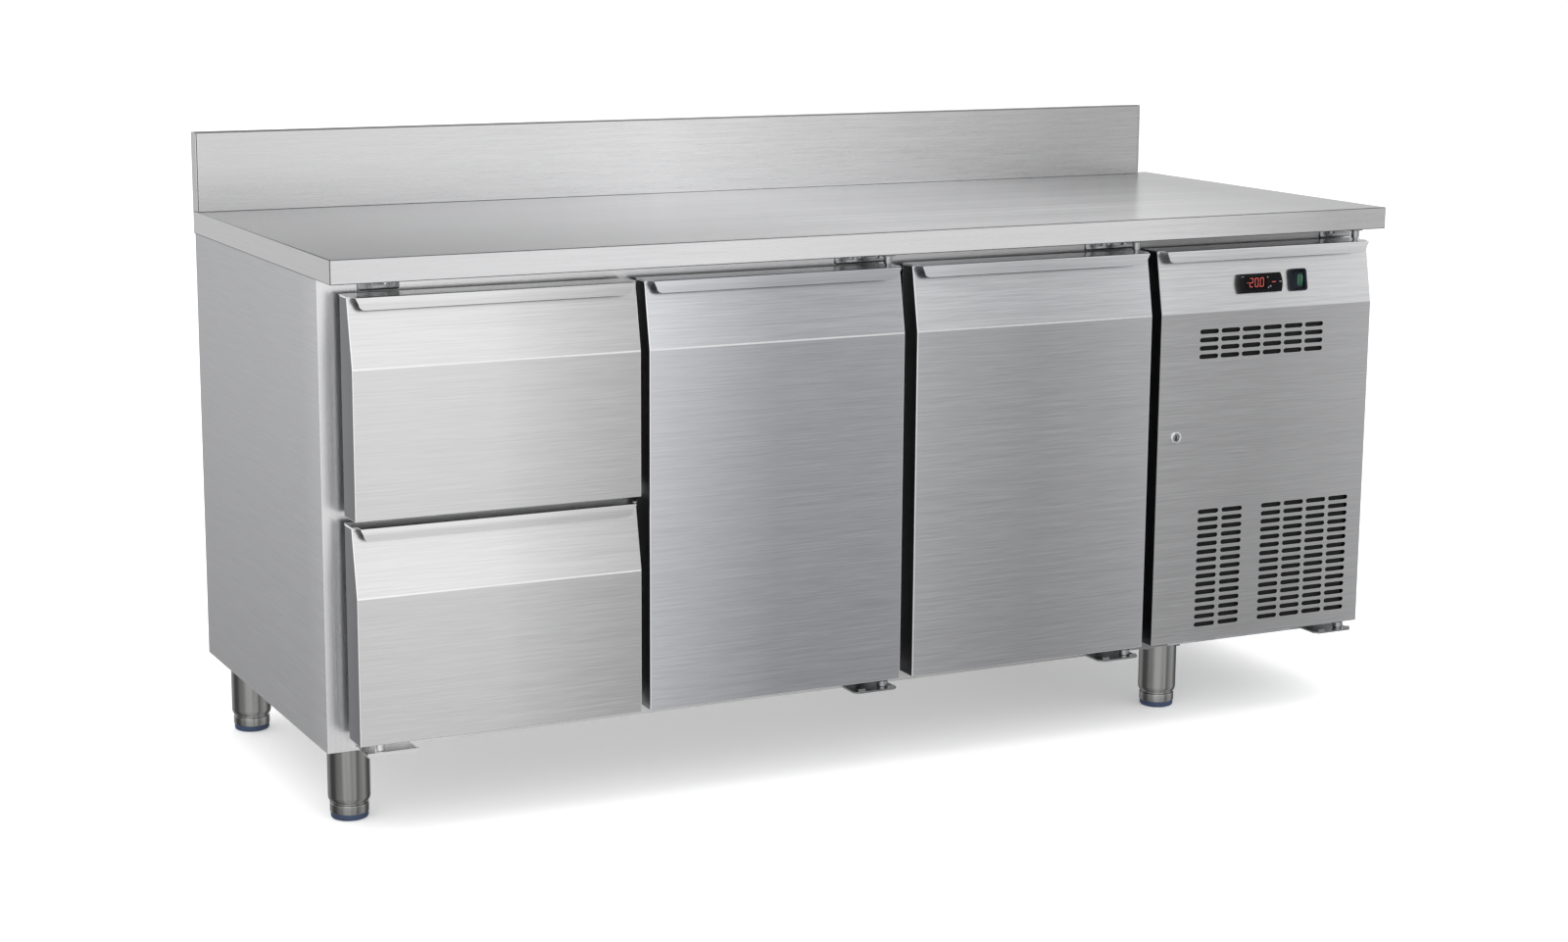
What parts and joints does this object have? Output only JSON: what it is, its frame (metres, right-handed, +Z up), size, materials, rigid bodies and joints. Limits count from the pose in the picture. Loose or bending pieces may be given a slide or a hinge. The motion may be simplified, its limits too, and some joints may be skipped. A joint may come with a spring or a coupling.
{
  "type": "refrigerated counter",
  "caption": "Stainless under-counter fridge with two drawers, two hinged doors, a louvred compressor bay, a rear upstand and tubular legs.",
  "frame": {"origin": "bottom centre of the bounding box, on the floor below the middle of the worktop", "axes": "+X along the counter to the compressor end, +Y to the rear upstand, +Z up; the doors face -Y"},
  "size_m": [1.795, 0.7, 0.955],
  "materials": {
    "brushed_stainless": "satin",
    "leg_stainless": "polished",
    "liner_stainless": "satin",
    "insulated_panel": "satin",
    "galvanised_sheet": "matte",
    "plated_steel": "satin",
    "gasket_grey": "matte",
    "black_enamel": "satin",
    "fan_plastic": "satin",
    "black_plastic": "gloss",
    "green_lens": "gloss",
    "aluminium_fins": "satin"
  },
  "bodies": {
    "cabinet": {"back_panel": "galvanised_sheet", "backsplash": "brushed_stainless", "centre_door_bottom_hinge": "plated_steel", "centre_door_top_hinge": "plated_steel", "centre_shelf": "plated_steel", "compressor": "black_enamel", "compressor_base": "galvanised_sheet", "compressor_partition": "insulated_panel", "condenser_coil": "aluminium_fins", "evaporator_coil": "aluminium_fins", "evaporator_cover": "liner_stainless", "fan_shroud": "black_enamel", "front_left_leg": "leg_stainless", "front_right_leg": "leg_stainless", "left_side_panel": "brushed_stainless", "left_wall": "insulated_panel", "mullion_1": "brushed_stainless", "mullion_2": "brushed_stainless", "panel_bottom_hinge": "plated_steel", "panel_top_hinge": "plated_steel", "rear_left_leg": "leg_stainless", "rear_right_leg": "leg_stainless", "rear_wall": "insulated_panel", "right_door_bottom_hinge": "plated_steel", "right_door_top_hinge": "plated_steel", "right_shelf": "plated_steel", "right_side_panel": "brushed_stainless", "tank_ceiling": "insulated_panel", "tank_floor": "insulated_panel", "worktop": "brushed_stainless"},
    "centre_door": {"centre_door_skin": "brushed_stainless", "centre_door_core": "insulated_panel", "centre_door_gasket": "gasket_grey"},
    "right_door": {"right_door_skin": "brushed_stainless", "right_door_core": "insulated_panel", "right_door_gasket": "gasket_grey"},
    "service_panel": {"condenser_panel": "brushed_stainless", "lock_housing": "plated_steel", "controller": "black_plastic", "switch_bezel": "black_plastic"},
    "lock": {"lock_barrel": "plated_steel"},
    "rocker": {"switch_rocker": "green_lens"},
    "upper_drawer": {"upper_drawer_skin": "brushed_stainless", "upper_drawer_core": "insulated_panel", "upper_drawer_gasket": "gasket_grey", "upper_drawer_box": "liner_stainless"},
    "lower_drawer": {"lower_drawer_skin": "brushed_stainless", "lower_drawer_core": "insulated_panel", "lower_drawer_gasket": "gasket_grey", "lower_drawer_box": "liner_stainless"},
    "upper_drawer_rails": {"upper_drawer_rail_left": "plated_steel", "upper_drawer_rail_right": "plated_steel"},
    "lower_drawer_rails": {"lower_drawer_rail_left": "plated_steel", "lower_drawer_rail_right": "plated_steel"},
    "evaporator_fan_wheel": {"evaporator_fan": "fan_plastic"},
    "condenser_fan_wheel": {"condenser_fan": "fan_plastic"},
    "front_left_foot_screw": {"front_left_foot": "leg_stainless"},
    "front_right_foot_screw": {"front_right_foot": "leg_stainless"},
    "rear_left_foot_screw": {"rear_left_foot": "leg_stainless"},
    "rear_right_foot_screw": {"rear_right_foot": "leg_stainless"}
  },
  "joints": [
    {"name": "centre_door_swing", "type": "hinge", "parent": "cabinet", "child": "centre_door", "pos_m": [-0.016, -0.322, 0.136], "axis": [0, 0, 1], "range_deg": [0, 105]},
    {"name": "right_door_swing", "type": "hinge", "parent": "cabinet", "child": "right_door", "pos_m": [0.4305, -0.322, 0.136], "axis": [0, 0, 1], "range_deg": [0, 105]},
    {"name": "service_panel_swing", "type": "hinge", "parent": "cabinet", "child": "service_panel", "pos_m": [0.859, -0.322, 0.136], "axis": [0, 0, 1], "range_deg": [0, 105]},
    {"name": "upper_drawer_slide", "type": "slide", "parent": "cabinet", "child": "upper_drawer", "axis": [0, -1, 0], "range_m": [0, 0.44]},
    {"name": "upper_drawer_rails_slide", "type": "slide", "parent": "cabinet", "child": "upper_drawer_rails", "axis": [0, -1, 0], "range_m": [0, 0.22]},
    {"name": "lower_drawer_slide", "type": "slide", "parent": "cabinet", "child": "lower_drawer", "axis": [0, -1, 0], "range_m": [0, 0.44]},
    {"name": "lower_drawer_rails_slide", "type": "slide", "parent": "cabinet", "child": "lower_drawer_rails", "axis": [0, -1, 0], "range_m": [0, 0.22]},
    {"name": "rocker_tip", "type": "hinge", "parent": "service_panel", "child": "rocker", "pos_m": [0.7325, -0.33883, 0.71789], "axis": [1, 0, 0], "range_deg": [-14, 0]},
    {"name": "lock_turn", "type": "hinge", "parent": "service_panel", "child": "lock", "pos_m": [0.5003, -0.3465, 0.476], "axis": [0, -1, 0], "range_deg": [0, 90]},
    {"name": "evaporator_fan_spin", "type": "hinge", "parent": "cabinet", "child": "evaporator_fan_wheel", "pos_m": [0.423, 0.02, 0.61], "axis": [1, 0, 0], "continuous": true},
    {"name": "condenser_fan_spin", "type": "hinge", "parent": "cabinet", "child": "condenser_fan_wheel", "pos_m": [0.7475, -0.2017, 0.265], "axis": [0, 1, 0], "continuous": true},
    {"name": "front_left_foot_reach", "type": "slide", "parent": "cabinet", "child": "front_left_foot_screw", "axis": [0, 0, -1], "range_m": [0, 0.03]},
    {"name": "front_right_foot_reach", "type": "slide", "parent": "cabinet", "child": "front_right_foot_screw", "axis": [0, 0, -1], "range_m": [0, 0.03]},
    {"name": "rear_left_foot_reach", "type": "slide", "parent": "cabinet", "child": "rear_left_foot_screw", "axis": [0, 0, -1], "range_m": [0, 0.03]},
    {"name": "rear_right_foot_reach", "type": "slide", "parent": "cabinet", "child": "rear_right_foot_screw", "axis": [0, 0, -1], "range_m": [0, 0.03]}
  ],
  "couplings": [
    {"joint": "upper_drawer_rails_slide", "follows": "upper_drawer_slide", "ratio": 0.5},
    {"joint": "lower_drawer_rails_slide", "follows": "lower_drawer_slide", "ratio": 0.5}
  ]
}
